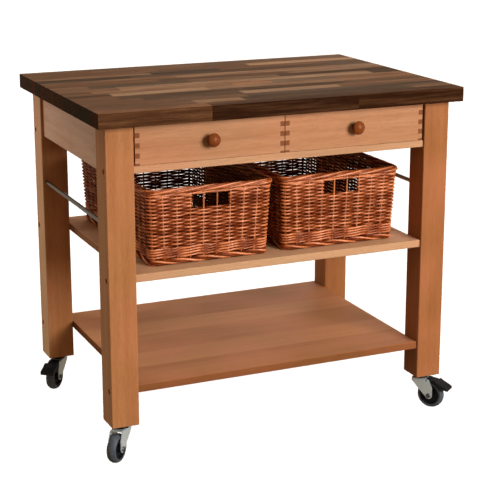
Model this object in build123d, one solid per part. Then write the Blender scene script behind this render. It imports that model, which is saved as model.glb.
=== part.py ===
from build123d import *
import math
import os

os.makedirs("parts", exist_ok=True)

# Kitchen trolley with a butcher block top. Millimetres, +Z up, the front faces -Y.
# The origin is on the floor under the middle of the worktop.

# Overall
TOP_LENGTH = 1000.0
TOP_DEPTH = 700.0
TOP_HEIGHT = 900.0
TOP_THICK = 38.0
EDGE = 1.5

# Legs, set in from the edges of the worktop
LEG = 72.0
LEG_INSET_SIDE = 25.0
LEG_INSET_FRONT = 30.0
LEG_INSET_BACK = 40.0
LEG_FOOT_Z = 96.0

# Aprons, rail and shelves
APRON_HEIGHT = 120.0
APRON_THICK = 20.0
APRON_SETBACK = 7.5
RAIL_THICK = 18.0
SHELF_SETBACK = 5.5
SHELF_THICK = 20.0
MIDDLE_SHELF_TOP = 488.0
BOTTOM_SHELF_TOP = 200.0

# Drawers
DRAWER_GAP = 1.0
DRAWER_SIDE_GAP = 5.0
DRAWER_DEPTH = 500.0
DRAWER_FRONT_THICK = 18.0
DRAWER_SIDE_THICK = 12.0
DRAWER_BOTTOM_THICK = 6.0
DRAWER_BOTTOM_LIFT = 6.0
DRAWER_GROOVE = 5.0
FINGER = 12.5
FINGER_TOP = 20.0
KNOB_RADIUS = 17.5
KNOB_LENGTH = 28.0
KNOB_RIM_LOW = 14.5
KNOB_RIM_HIGH = 20.5
KNOB_RIM_CROWN = 1.4
KNOB_SCREW_RADIUS = 2.0
KNOB_SCREW_BITE = 12.0

# Drawer runners
RUNNER_THICK = 18.0
RUNNER_LIP = 25.0
RUNNER_LEDGE = 26.0
RUNNER_PLAY = 1.5
CENTRE_RUNNER_WIDTH = 60.0
STOP_GAP = 0.3
STOP_SIZE = 20.0

# Towel rails
ROD_RADIUS = 5.5
ROD_SETBACK = 11.0
ROD_HEIGHT = 612.0
ROD_SOCKET = 15.0

# Bolts with cross dowels
BOLT_RADIUS = 3.0
BOLT_HEAD_RADIUS = 5.0
BOLT_HEAD_LENGTH = 6.0
BOLT_HOLE_RADIUS = 3.3
BOLT_SINK_RADIUS = 7.0
BOLT_SINK_DEPTH = 12.0
BOLT_FROM_FACE = 17.0
BOLT_REACH = 42.0
BOLT_END_GAP = 4.0
BOLT_KEY_RADIUS = 2.9
BOLT_KEY_DEPTH = 3.5
CROSS_DOWEL_REACH = 32.0
CROSS_DOWEL_RADIUS = 5.0
CROSS_DOWEL_LENGTH = 14.0
FIT = 0.05

# Worktop brackets
BRACKET_LEG = 40.0
BRACKET_WIDTH = 30.0
BRACKET_THICK = 3.0
BRACKET_SPREAD_X = 200.0
BRACKET_SPREAD_Y = 120.0
BRACKET_SCREW_REACH = 24.0
BRACKET_SCREW_PLAY = 0.3
SCREW_RADIUS = 2.0
SCREW_HEAD_RADIUS = 4.0
SCREW_HEAD_LENGTH = 2.4
SCREW_LENGTH = 18.0

# Baskets
BASKET_WIDTH = 345.0
BASKET_DEPTH = 565.0
BASKET_HEIGHT = 200.0
BASKET_TAPER = 10.0
BASKET_WALL = 8.0
BASKET_CORNER = 20.0
BASKET_FRONT = -280.0
BASKET_CENTRES = {"left": -186.0, "right": 182.0}
HAND_HOLE_WIDTH = 100.0
HAND_HOLE_HEIGHT = 35.0
HAND_HOLE_DROP = 22.0

# Casters, in their own frame: X is the way the wheel trails, Y lies along the axle
WHEEL_RADIUS = 37.5
WHEEL_TRAIL = 30.0
TYRE_WIDTH = 24.0
TYRE_CROWN = 5.0
HUB_RADIUS = 28.0
HUB_WIDTH = 18.0
HUB_BOSS_RADIUS = 9.0
CHEEK_GAP = 31.0
CHEEK_THICK = 2.5
FORK_TOP = 84.0
FORK_PLATE = 3.0
FORK_BOSS = 9.5
FORK_TAIL = -21.0
FORK_NOTCH_X = 17.0
AXLE_RADIUS = 4.0
AXLE_HEAD_RADIUS = 6.5
AXLE_HEAD_LENGTH = 3.0
STEM_RADIUS = 6.0
STEM_SOCKET = 50.0
STEM_PIN_RADIUS = 5.0
SWIVEL_GAP = 0.3
RACE_RADIUS = 19.0
RACE_HEIGHT = 5.5
COLLAR_WIDTH = 17.0
COLLAR_HEIGHT = 3.5
RIVET_RADIUS = 8.0
RIVET_HEIGHT = 2.5
PEDAL_PIVOT_X = 22.0
PEDAL_PIVOT_Z = 79.5
PEDAL_PIN_RADIUS = 2.0
PEDAL_NECK_WIDTH = 27.0
PEDAL_TIP_X = 86.5
PEDAL_TIP_WIDTH = 40.0
PEDAL_TOE_SLOPE = 25.6

CASTER_HEADING = {"front_left": 225.0, "front_right": -53.0, "back_left": 229.0, "back_right": 200.0}
BRAKED = ("front_right", "back_left")

# Derived places
TOP_UNDER = TOP_HEIGHT - TOP_THICK
LEG_OUTER_X = TOP_LENGTH / 2 - LEG_INSET_SIDE
LEG_INNER_X = LEG_OUTER_X - LEG
LEG_FRONT_Y = -TOP_DEPTH / 2 + LEG_INSET_FRONT
LEG_BACK_Y = TOP_DEPTH / 2 - LEG_INSET_BACK
FRONT_LEG_REAR_Y = LEG_FRONT_Y + LEG
BACK_LEG_FRONT_Y = LEG_BACK_Y - LEG
APRON_BOTTOM = TOP_UNDER - APRON_HEIGHT
RAIL_TOP = APRON_BOTTOM + RAIL_THICK
PANEL_FRONT_Y = LEG_FRONT_Y + SHELF_SETBACK
BACK_APRON_FRONT_Y = LEG_BACK_Y - APRON_SETBACK - APRON_THICK
END_APRON_INNER_X = LEG_OUTER_X - APRON_SETBACK - APRON_THICK
DRAWER_BOTTOM_Z = RAIL_TOP + DRAWER_GAP
DRAWER_TOP_Z = TOP_UNDER - DRAWER_GAP
DRAWER_FRONT_Y = LEG_FRONT_Y + SHELF_SETBACK - 0.5
DRAWER_REAR_Y = DRAWER_FRONT_Y + DRAWER_DEPTH
LEG_CENTRE_X = LEG_OUTER_X - LEG / 2
LEG_CENTRE_Y = {"front": LEG_FRONT_Y + LEG / 2, "back": LEG_BACK_Y - LEG / 2}
BOLT_Y = {"front": LEG_FRONT_Y + BOLT_FROM_FACE, "back": LEG_BACK_Y - BOLT_FROM_FACE}
BOLT_Z = (
    APRON_BOTTOM + RAIL_THICK / 2,
    MIDDLE_SHELF_TOP - SHELF_THICK / 2,
    BOTTOM_SHELF_TOP - SHELF_THICK / 2,
)
SIDES = {"left": -1, "right": 1}
ENDS = ("front", "back")


def block(low, high):
    """Box between two corners."""
    size = [b - a for a, b in zip(low, high)]
    return Pos(*low) * Box(*size, align=(Align.MIN, Align.MIN, Align.MIN))


def mirrored_block(side, low, high):
    """Box between two corners given for the right side, mirrored for the left."""
    if SIDES[side] > 0:
        return block(low, high)
    return block((-high[0], low[1], low[2]), (-low[0], high[1], high[2]))


def rod(start, direction, radius, length):
    """Cylinder from a point along a direction."""
    plane = Plane(origin=start, z_dir=direction)
    return plane * Cylinder(radius, length, align=(Align.CENTER, Align.CENTER, Align.MIN))


def eased(solid, amount=EDGE):
    """A straight piece of timber with its sharp edges taken off."""
    return chamfer(solid.edges(), amount)


def save(name, shape):
    """Write one sub-part."""
    export_step(shape, f"parts/{name}.step")


def leg_box(side, end):
    """Corners of one leg, as low and high X and Y."""
    xs = sorted((SIDES[side] * LEG_INNER_X, SIDES[side] * LEG_OUTER_X))
    ys = (LEG_FRONT_Y, FRONT_LEG_REAR_Y) if end == "front" else (BACK_LEG_FRONT_Y, LEG_BACK_Y)
    return xs, ys


def make_leg(side, end):
    """Square leg with bolt holes, a towel rail socket and a caster socket."""
    xs, ys = leg_box(side, end)
    leg = eased(block((xs[0], ys[0], LEG_FOOT_Z), (xs[1], ys[1], TOP_UNDER)))
    inward = (-SIDES[side], 0, 0)
    for z in BOLT_Z:
        face = (SIDES[side] * LEG_OUTER_X, BOLT_Y[end], z)
        leg -= rod(face, inward, BOLT_SINK_RADIUS, BOLT_SINK_DEPTH)
        leg -= rod(face, inward, BOLT_HOLE_RADIUS, LEG)
    socket_y = FRONT_LEG_REAR_Y if end == "front" else BACK_LEG_FRONT_Y
    into = (0, -1, 0) if end == "front" else (0, 1, 0)
    socket = (SIDES[side] * (LEG_OUTER_X - ROD_SETBACK), socket_y, ROD_HEIGHT)
    leg -= rod(socket, into, ROD_RADIUS + FIT, ROD_SOCKET)
    foot = (SIDES[side] * LEG_CENTRE_X, LEG_CENTRE_Y[end], LEG_FOOT_Z)
    leg -= rod(foot, (0, 0, 1), STEM_RADIUS + FIT, STEM_SOCKET)
    return leg


def drill_cross_dowels(member, bottom_z, bolt_z, ends):
    """Bolt holes in both ends of a cross member, and the cross dowel holes under them."""
    depth = bolt_z - bottom_z + CROSS_DOWEL_LENGTH / 2
    for sign in SIDES.values():
        for end in ends:
            face = (sign * LEG_INNER_X, BOLT_Y[end], bolt_z)
            member -= rod(face, (-sign, 0, 0), BOLT_HOLE_RADIUS, BOLT_REACH)
            under = (sign * (LEG_INNER_X - CROSS_DOWEL_REACH), BOLT_Y[end], bottom_z)
            member -= rod(under, (0, 0, 1), CROSS_DOWEL_RADIUS + FIT, depth)
    return member


def make_shelf(top_z):
    """Shelf board between the inner faces of the legs."""
    bottom_z = top_z - SHELF_THICK
    board = eased(block((-LEG_INNER_X, PANEL_FRONT_Y, bottom_z), (LEG_INNER_X, LEG_BACK_Y, top_z)))
    return drill_cross_dowels(board, bottom_z, bottom_z + SHELF_THICK / 2, ENDS)


def make_drawer_rail():
    """Rail under the drawer fronts."""
    low = (-LEG_INNER_X, PANEL_FRONT_Y, APRON_BOTTOM)
    high = (LEG_INNER_X, FRONT_LEG_REAR_Y, RAIL_TOP)
    return drill_cross_dowels(eased(block(low, high), 1.0), APRON_BOTTOM, BOLT_Z[0], ("front",))


def bracket_places():
    """Corner line and inward direction of each worktop bracket."""
    places = []
    for sign in SIDES.values():
        for y in (-BRACKET_SPREAD_Y, BRACKET_SPREAD_Y):
            places.append(((sign * END_APRON_INNER_X, y), (-sign, 0)))
    for x in (-BRACKET_SPREAD_X, BRACKET_SPREAD_X):
        places.append(((x, BACK_APRON_FRONT_Y), (0, -1)))
    return places


def bracket_screws():
    """Seat and driving direction of each bracket screw: one up into the top, one into the apron."""
    seats = []
    reach = BRACKET_SCREW_REACH
    for (x, y), (dx, dy) in bracket_places():
        up = (x + dx * reach, y + dy * reach, TOP_UNDER - BRACKET_THICK)
        out = (x + dx * BRACKET_THICK, y + dy * BRACKET_THICK, TOP_UNDER - reach)
        seats.append((up, (0, 0, 1)))
        seats.append((out, (-dx, -dy, 0)))
    return seats


def drill_screws(shape, radius):
    """Bracket screw holes through or into a shape."""
    for seat, direction in bracket_screws():
        shape -= rod(seat, direction, radius, SCREW_LENGTH)
    return shape


def make_bracket(corner, inward):
    """Steel angle that holds the worktop to an apron."""
    x, y = corner
    dx, dy = inward
    half = BRACKET_WIDTH / 2
    plates = []
    for reach, drop in ((BRACKET_LEG, BRACKET_THICK), (BRACKET_THICK, BRACKET_LEG)):
        xs = sorted((x, x + dx * reach)) if dx else (x - half, x + half)
        ys = sorted((y, y + dy * reach)) if dy else (y - half, y + half)
        plates.append(block((xs[0], ys[0], TOP_UNDER - drop), (xs[1], ys[1], TOP_UNDER)))
    return plates[0] + plates[1]


def make_screw(seat, direction):
    """Round head wood screw."""
    back = tuple(-d for d in direction)
    head = rod(seat, back, SCREW_HEAD_RADIUS, SCREW_HEAD_LENGTH)
    return head + rod(seat, direction, SCREW_RADIUS, SCREW_LENGTH)


def make_bolt(side, end, z):
    """Socket head bolt through a leg into a cross member."""
    sign = SIDES[side]
    inward = (-sign, 0, 0)
    seat_x = LEG_OUTER_X - BOLT_SINK_DEPTH
    length = seat_x - LEG_INNER_X + BOLT_REACH - BOLT_END_GAP
    bolt = rod((sign * seat_x, BOLT_Y[end], z), inward, BOLT_RADIUS, length)
    bolt += rod((sign * seat_x, BOLT_Y[end], z), (sign, 0, 0), BOLT_HEAD_RADIUS, BOLT_HEAD_LENGTH)
    socket = Plane(origin=(sign * (seat_x + BOLT_HEAD_LENGTH), BOLT_Y[end], z), z_dir=inward)
    return bolt - extrude(socket * RegularPolygon(BOLT_KEY_RADIUS, 6), BOLT_KEY_DEPTH)


def make_cross_dowel(side, end, z):
    """Barrel nut that a bolt screws into."""
    sign = SIDES[side]
    x = sign * (LEG_INNER_X - CROSS_DOWEL_REACH)
    nut = rod((x, BOLT_Y[end], z - CROSS_DOWEL_LENGTH / 2), (0, 0, 1), CROSS_DOWEL_RADIUS, CROSS_DOWEL_LENGTH)
    return nut - rod((x - 10, BOLT_Y[end], z), (1, 0, 0), BOLT_RADIUS + FIT, 20)


def make_runner(side):
    """L-shaped runner beside a drawer, fixed to the end apron and the legs."""
    ledge_x = LEG_INNER_X - DRAWER_SIDE_GAP - RUNNER_LEDGE
    lip_x = LEG_INNER_X - DRAWER_SIDE_GAP + RUNNER_PLAY
    ys = (FRONT_LEG_REAR_Y, BACK_LEG_FRONT_Y)
    base = mirrored_block(side, (ledge_x, ys[0], APRON_BOTTOM), (END_APRON_INNER_X, ys[1], RAIL_TOP))
    lip = mirrored_block(side, (lip_x, ys[0], RAIL_TOP), (END_APRON_INNER_X, ys[1], RAIL_TOP + RUNNER_LIP))
    return base + lip


def make_stops():
    """Blocks on the runners that the closed drawers meet."""
    y = DRAWER_REAR_Y + STOP_GAP
    blocks = [block((-STOP_SIZE, y, RAIL_TOP), (STOP_SIZE, y + STOP_SIZE, RAIL_TOP + STOP_SIZE))]
    for side in SIDES:
        x = LEG_INNER_X - DRAWER_SIDE_GAP
        low = (x - RUNNER_LEDGE + 2, y, RAIL_TOP)
        blocks.append(mirrored_block(side, low, (x, y + STOP_SIZE, RAIL_TOP + STOP_SIZE)))
    return Compound(children=blocks)


def finger_bands():
    """Heights of the side panels' fingers in the comb joints."""
    bands = []
    high = DRAWER_TOP_Z - FINGER_TOP
    while high > DRAWER_BOTTOM_Z:
        bands.append((max(high - FINGER, DRAWER_BOTTOM_Z), high))
        high -= 2 * FINGER
    return bands


def drawer_groove(x_low, x_high):
    """Space that the drawer's bottom panel takes up, grooves included."""
    z = DRAWER_BOTTOM_Z + DRAWER_BOTTOM_LIFT
    low = (x_low + DRAWER_SIDE_THICK - DRAWER_GROOVE, DRAWER_FRONT_Y + DRAWER_FRONT_THICK - DRAWER_GROOVE, z)
    high = (
        x_high - DRAWER_SIDE_THICK + DRAWER_GROOVE,
        DRAWER_REAR_Y - DRAWER_SIDE_THICK + DRAWER_GROOVE,
        z + DRAWER_BOTTOM_THICK,
    )
    return block(low, high)


def make_knob(x, z):
    """Turned mushroom knob with its screw."""
    rim = KNOB_RADIUS - KNOB_RIM_CROWN
    rim_middle = (KNOB_RIM_LOW + KNOB_RIM_HIGH) / 2
    dome = KNOB_LENGTH - KNOB_RIM_HIGH
    dome_radius = (rim**2 + dome**2) / (2 * dome)
    half_turn = math.asin(rim / dome_radius) / 2
    crown = (dome_radius * math.sin(half_turn), KNOB_LENGTH - dome_radius * (1 - math.cos(half_turn)))
    with BuildSketch() as outline:
        with BuildLine():
            Polyline((0, KNOB_LENGTH), (0, 0), (10, 0), (8.2, 4), (7.2, 9))
            ThreePointArc((7.2, 9), (9.6, 12.9), (rim, KNOB_RIM_LOW))
            ThreePointArc((rim, KNOB_RIM_LOW), (KNOB_RADIUS, rim_middle), (rim, KNOB_RIM_HIGH))
            ThreePointArc((rim, KNOB_RIM_HIGH), crown, (0, KNOB_LENGTH))
        make_face()
    knob = revolve(outline.sketch, Axis.Y)
    knob = Pos(x, DRAWER_FRONT_Y, z) * Rot(0, 0, 180) * knob
    pilot = rod((x, DRAWER_FRONT_Y, z), (0, -1, 0), KNOB_SCREW_RADIUS + FIT, KNOB_SCREW_BITE + 2)
    seat = (x, DRAWER_FRONT_Y + DRAWER_FRONT_THICK, z)
    screw = rod(seat, (0, -1, 0), KNOB_SCREW_RADIUS, DRAWER_FRONT_THICK + KNOB_SCREW_BITE)
    screw += rod(seat, (0, 1, 0), SCREW_HEAD_RADIUS, SCREW_HEAD_LENGTH)
    return knob - pilot, screw


def save_drawer(side):
    """Five-panel drawer with comb joints, a grooved bottom and a knob."""
    outer = LEG_INNER_X - DRAWER_SIDE_GAP
    x_low, x_high = (-outer, -DRAWER_GAP) if SIDES[side] < 0 else (DRAWER_GAP, outer)
    x_mid = SIDES[side] * TOP_LENGTH / 5
    z_knob = (DRAWER_BOTTOM_Z + DRAWER_TOP_Z) / 2
    y_front, y_rear = DRAWER_FRONT_Y, DRAWER_REAR_Y
    z_low, z_high = DRAWER_BOTTOM_Z, DRAWER_TOP_Z
    bottom = drawer_groove(x_low, x_high)
    front = block((x_low, y_front, z_low), (x_high, y_front + DRAWER_FRONT_THICK, z_high))
    back = block((x_low, y_rear - DRAWER_SIDE_THICK, z_low), (x_high, y_rear, z_high))
    side_spans = {"left": (x_low, x_low + DRAWER_SIDE_THICK), "right": (x_high - DRAWER_SIDE_THICK, x_high)}
    panels = {}
    for wall, (x0, x1) in side_spans.items():
        panel = block((x0, y_front, z_low), (x1, y_rear, z_high))
        fingers = [block((x0, y_front, z0), (x1, y_rear, z1)) for z0, z1 in finger_bands()]
        for finger in fingers:
            front -= finger
            back -= finger
        panels[wall] = panel - front - back - bottom
    knob, screw = make_knob(x_mid, z_knob)
    hole = rod((x_mid, y_front, z_knob), (0, 1, 0), KNOB_SCREW_RADIUS + FIT, DRAWER_FRONT_THICK)
    save(f"drawer_{side}_front", front - bottom - hole)
    save(f"drawer_{side}_back", back - bottom)
    save(f"drawer_{side}_left_side", panels["left"])
    save(f"drawer_{side}_right_side", panels["right"])
    save(f"drawer_{side}_bottom", bottom)
    save(f"drawer_{side}_knob", knob)
    save(f"drawer_{side}_knob_screw", screw)


def tapered_block(width, depth, low_z, high_z, corner, taper):
    """Upright block with rounded corners that widens upwards."""
    low = Plane.XY.offset(low_z) * RectangleRounded(width - 2 * taper, depth - 2 * taper, corner)
    high = Plane.XY.offset(high_z) * RectangleRounded(width, depth, corner)
    return loft([low, high])


def make_basket(side):
    """Open basket as a plain tapered shell with a hand hole in each end."""
    floor_z = MIDDLE_SHELF_TOP
    rim_z = floor_z + BASKET_HEIGHT
    middle_y = BASKET_FRONT + BASKET_DEPTH / 2
    shell = tapered_block(BASKET_WIDTH, BASKET_DEPTH, floor_z, rim_z, BASKET_CORNER, BASKET_TAPER)
    inner = tapered_block(
        BASKET_WIDTH - 2 * BASKET_WALL,
        BASKET_DEPTH - 2 * BASKET_WALL,
        floor_z + BASKET_WALL,
        rim_z,
        BASKET_CORNER - BASKET_WALL,
        BASKET_TAPER,
    )
    hole_top = rim_z - HAND_HOLE_DROP
    half = HAND_HOLE_WIDTH / 2
    holes = block((-half, -BASKET_DEPTH, hole_top - HAND_HOLE_HEIGHT), (half, BASKET_DEPTH, hole_top))
    return Pos(BASKET_CENTRES[side], middle_y, 0) * (shell - inner - holes)


def turned(points):
    """Solid of revolution about the Y axis from half-section points as (radius, y)."""
    return revolve(make_face(Polyline(*[(r, y) for r, y in points], close=True)), Axis.Y)


def make_tyre():
    """Rubber tyre with a crowned tread."""
    half = TYRE_WIDTH / 2
    shoulder = WHEEL_RADIUS - TYRE_CROWN
    with BuildSketch() as outline:
        with BuildLine():
            Polyline((shoulder, -half), (HUB_RADIUS, -half), (HUB_RADIUS, half), (shoulder, half))
            ThreePointArc((shoulder, half), (WHEEL_RADIUS, 0), (shoulder, -half))
        make_face()
    return revolve(outline.sketch, Axis.Y)


def make_hub():
    """Plastic wheel centre: a rim, a thin web and a boss around the axle."""
    half = HUB_WIDTH / 2
    bore = AXLE_RADIUS + FIT
    boss = CHEEK_GAP / 2 - 1.0
    right_half = [
        (HUB_RADIUS, half + 2),
        (HUB_RADIUS - 3, half + 2),
        (HUB_RADIUS - 4.5, 4),
        (HUB_BOSS_RADIUS + 1.5, 3),
        (HUB_BOSS_RADIUS, boss),
        (bore, boss),
    ]
    left_half = [(r, -y) for r, y in reversed(right_half)]
    return turned(right_half + left_half)


def make_axle():
    """Wheel bolt with a head on each end."""
    outside = CHEEK_GAP / 2 + CHEEK_THICK
    end = outside + AXLE_HEAD_LENGTH
    half_section = [
        (0, -end),
        (AXLE_HEAD_RADIUS - 1, -end),
        (AXLE_HEAD_RADIUS, -end + 1),
        (AXLE_HEAD_RADIUS, -outside),
        (AXLE_RADIUS, -outside),
        (AXLE_RADIUS, outside),
        (AXLE_HEAD_RADIUS, outside),
        (AXLE_HEAD_RADIUS, end - 1),
        (AXLE_HEAD_RADIUS - 1, end),
        (0, end),
    ]
    return turned(half_section)


def make_fork(braked):
    """Pressed steel fork: a top plate and two raked cheeks."""
    boss = FORK_BOSS
    plate_z = FORK_TOP - FORK_PLATE
    width = CHEEK_GAP + 2 * CHEEK_THICK
    with BuildSketch(Plane.XZ) as side_view:
        with BuildLine():
            Polyline(
                (WHEEL_TRAIL + boss, WHEEL_RADIUS),
                (WHEEL_TRAIL + boss, 60),
                (28, FORK_TOP),
                (FORK_TAIL, FORK_TOP),
                (FORK_TAIL, FORK_TOP - 9),
                (WHEEL_TRAIL - boss * 0.8, WHEEL_RADIUS - boss * 0.6),
            )
            ThreePointArc(
                (WHEEL_TRAIL - boss * 0.8, WHEEL_RADIUS - boss * 0.6),
                (WHEEL_TRAIL + boss * 0.28, WHEEL_RADIUS - boss * 0.96),
                (WHEEL_TRAIL + boss, WHEEL_RADIUS),
            )
        make_face()
    with BuildSketch(Plane.YZ) as front_view:
        with Locations((0, FORK_TOP / 2)):
            RectangleRounded(width, FORK_TOP, 5)
        with Locations((0, plate_z / 2 - 10)):
            RectangleRounded(CHEEK_GAP, plate_z + 20, 2.5, mode=Mode.SUBTRACT)
    fork = extrude(side_view.sketch, width, both=True) & extrude(front_view.sketch, 100, both=True)
    if braked:
        fork -= block((FORK_NOTCH_X, -CHEEK_GAP / 2, plate_z - 10), (100, CHEEK_GAP / 2, FORK_TOP))
    fork -= rod((0, 0, 0), (0, 0, 1), STEM_PIN_RADIUS + FIT, FORK_TOP + 1)
    fork -= rod((WHEEL_TRAIL, -width, WHEEL_RADIUS), (0, 1, 0), AXLE_RADIUS + FIT, 2 * width)
    if braked:
        fork -= rod((PEDAL_PIVOT_X, -width, PEDAL_PIVOT_Z), (0, 1, 0), PEDAL_PIN_RADIUS + FIT, 2 * width)
    return fork


def make_stem():
    """Threaded stem, hexagon collar, swivel race and the rivet end that carries the fork."""
    race_low = FORK_TOP + SWIVEL_GAP
    race_high = race_low + RACE_HEIGHT
    rivet_top = FORK_TOP - FORK_PLATE - SWIVEL_GAP
    race = rod((0, 0, race_low), (0, 0, 1), RACE_RADIUS, RACE_HEIGHT)
    race = fillet(race.edges().group_by(Axis.Z)[-1], 2.5)
    hexagon = RegularPolygon(COLLAR_WIDTH / 2, 6, major_radius=False)
    collar = Pos(0, 0, race_high) * extrude(hexagon, COLLAR_HEIGHT)
    thread = rod((0, 0, race_high), (0, 0, 1), STEM_RADIUS, LEG_FOOT_Z + STEM_SOCKET - 2 - race_high)
    rivet_foot = (0, 0, rivet_top - RIVET_HEIGHT)
    pin = rod(rivet_foot, (0, 0, 1), STEM_PIN_RADIUS, race_high - rivet_top)
    return race + collar + thread + pin + rod(rivet_foot, (0, 0, 1), RIVET_RADIUS, RIVET_HEIGHT)


def pedal_profile(points):
    """Side view of a part of the pedal, in the caster's XZ plane."""
    with BuildSketch(Plane.XZ) as profile:
        with BuildLine():
            Polyline(*points, close=True)
        make_face()
    return profile.sketch


def make_pedal():
    """Brake pedal, pressed down: a pivot barrel, a neck over the tyre and a ribbed toe plate."""
    neck_under = [(22, 75.9), (34, 75.9), (45, 73.2), (52, 69.6), (57, 65.6)]
    neck_over = [(57, 77), (46, 81.5), (22, 83.4)]
    neck = extrude(pedal_profile(neck_under + neck_over), PEDAL_NECK_WIDTH / 2, both=True)
    barrel_radius = 3.7
    barrel_end = (PEDAL_PIVOT_X, -PEDAL_NECK_WIDTH / 2, PEDAL_PIVOT_Z)
    barrel = rod(barrel_end, (0, 1, 0), barrel_radius, PEDAL_NECK_WIDTH)
    toe_points = [(47, 75.5), (59, 64.5), (85, 58.5), (PEDAL_TIP_X, 60.5), (84, 64), (60, 75.5), (50, 81.5)]
    plan_length = 60
    toe_plan = Pos(PEDAL_TIP_X - plan_length / 2, 0) * RectangleRounded(plan_length, PEDAL_TIP_WIDTH, 8)
    toe = extrude(pedal_profile(toe_points), PEDAL_TIP_WIDTH, both=True) & extrude(toe_plan, 100)
    pin_length = CHEEK_GAP + 2 * CHEEK_THICK
    pin = rod((PEDAL_PIVOT_X, -pin_length / 2, PEDAL_PIVOT_Z), (0, 1, 0), PEDAL_PIN_RADIUS, pin_length)
    pedal = neck + barrel + toe + pin
    for x in (64, 69, 74, 79):
        ridge_z = 75.5 - (x - 60) * math.tan(math.radians(PEDAL_TOE_SLOPE))
        pedal += Pos(x, 0, ridge_z) * Rot(0, PEDAL_TOE_SLOPE, 0) * Box(2.0, PEDAL_TIP_WIDTH - 8, 2.4)
    return pedal


def save_caster(side, end):
    """All pieces of one caster, turned to its heading under its leg."""
    corner = f"{end}_{side}"
    place = Pos(SIDES[side] * LEG_CENTRE_X, LEG_CENTRE_Y[end], 0) * Rot(0, 0, CASTER_HEADING[corner])
    wheel_place = place * Pos(WHEEL_TRAIL, 0, WHEEL_RADIUS)
    braked = corner in BRAKED
    save(f"caster_{corner}_stem", place * make_stem())
    save(f"caster_{corner}_fork", place * make_fork(braked))
    save(f"caster_{corner}_axle", wheel_place * make_axle())
    save(f"caster_{corner}_hub", wheel_place * make_hub())
    save(f"caster_{corner}_tyre", wheel_place * make_tyre())
    if braked:
        save(f"caster_{corner}_brake_pedal", place * make_pedal())


def save_frame():
    """Worktop, legs, aprons, rail, shelves and runners."""
    corner = (TOP_LENGTH / 2, TOP_DEPTH / 2)
    worktop = eased(block((-corner[0], -corner[1], TOP_UNDER), (corner[0], corner[1], TOP_HEIGHT)))
    save("worktop", drill_screws(worktop, SCREW_RADIUS + FIT))
    for side in SIDES:
        for end in ENDS:
            save(f"leg_{end}_{side}", make_leg(side, end))
        low = (END_APRON_INNER_X, FRONT_LEG_REAR_Y, APRON_BOTTOM)
        high = (END_APRON_INNER_X + APRON_THICK, BACK_LEG_FRONT_Y, TOP_UNDER)
        save(f"end_apron_{side}", drill_screws(mirrored_block(side, low, high), SCREW_RADIUS + FIT))
        save(f"drawer_runner_{side}", make_runner(side))
    low = (-LEG_INNER_X, BACK_APRON_FRONT_Y, APRON_BOTTOM)
    high = (LEG_INNER_X, BACK_APRON_FRONT_Y + APRON_THICK, TOP_UNDER)
    back_apron = drill_cross_dowels(block(low, high), APRON_BOTTOM, BOLT_Z[0], ("back",))
    save("back_apron", drill_screws(back_apron, SCREW_RADIUS + FIT))
    save("drawer_rail", make_drawer_rail())
    half = CENTRE_RUNNER_WIDTH / 2
    centre_runner = block((-half, FRONT_LEG_REAR_Y, APRON_BOTTOM), (half, BACK_APRON_FRONT_Y, RAIL_TOP))
    save("drawer_runner_centre", centre_runner)
    save("drawer_stops", make_stops())
    save("middle_shelf", make_shelf(MIDDLE_SHELF_TOP))
    save("bottom_shelf", make_shelf(BOTTOM_SHELF_TOP))


def save_fittings():
    """Towel rails, bolts, cross dowels, brackets and screws."""
    rod_start = FRONT_LEG_REAR_Y - ROD_SOCKET + 1
    rod_length = BACK_LEG_FRONT_Y - FRONT_LEG_REAR_Y + 2 * ROD_SOCKET - 2
    for side, sign in SIDES.items():
        start = (sign * (LEG_OUTER_X - ROD_SETBACK), rod_start, ROD_HEIGHT)
        save(f"towel_rail_{side}", rod(start, (0, 1, 0), ROD_RADIUS, rod_length))
    corners = [(side, end, z) for side in SIDES for end in ENDS for z in BOLT_Z]
    save("frame_bolts", Compound(children=[make_bolt(*corner) for corner in corners]))
    save("cross_dowels", Compound(children=[make_cross_dowel(*corner) for corner in corners]))
    hole_radius = SCREW_RADIUS + BRACKET_SCREW_PLAY
    brackets = [drill_screws(make_bracket(*place), hole_radius) for place in bracket_places()]
    save("worktop_brackets", Compound(children=brackets))
    screws = [make_screw(*seat) for seat in bracket_screws()]
    save("bracket_screws", Compound(children=screws))


save_frame()
save_fittings()
for drawer_side in SIDES:
    save_drawer(drawer_side)
    save(f"basket_{drawer_side}", make_basket(drawer_side))
for caster_side in SIDES:
    for caster_end in ENDS:
        save_caster(caster_side, caster_end)
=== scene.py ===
import math
import random

import bpy
import numpy as np
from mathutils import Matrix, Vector


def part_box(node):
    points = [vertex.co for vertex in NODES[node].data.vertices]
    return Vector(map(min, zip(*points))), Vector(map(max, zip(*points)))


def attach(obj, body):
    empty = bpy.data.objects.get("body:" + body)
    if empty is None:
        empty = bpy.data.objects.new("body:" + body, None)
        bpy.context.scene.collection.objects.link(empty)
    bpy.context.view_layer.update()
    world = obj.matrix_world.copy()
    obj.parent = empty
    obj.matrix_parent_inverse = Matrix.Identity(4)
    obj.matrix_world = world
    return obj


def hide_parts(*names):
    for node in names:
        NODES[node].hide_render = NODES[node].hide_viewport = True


# Kitchen trolley: a walnut butcher block on a beech frame, with two drawers, two willow
# baskets, two steel towel rails and four casters. Metres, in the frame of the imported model.

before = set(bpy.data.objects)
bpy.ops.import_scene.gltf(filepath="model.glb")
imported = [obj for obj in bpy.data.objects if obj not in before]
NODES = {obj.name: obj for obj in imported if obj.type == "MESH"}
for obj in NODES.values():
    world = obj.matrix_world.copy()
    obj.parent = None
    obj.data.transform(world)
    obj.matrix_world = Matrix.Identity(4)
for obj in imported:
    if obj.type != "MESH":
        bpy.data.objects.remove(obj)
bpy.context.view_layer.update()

MM = 0.001

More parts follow.
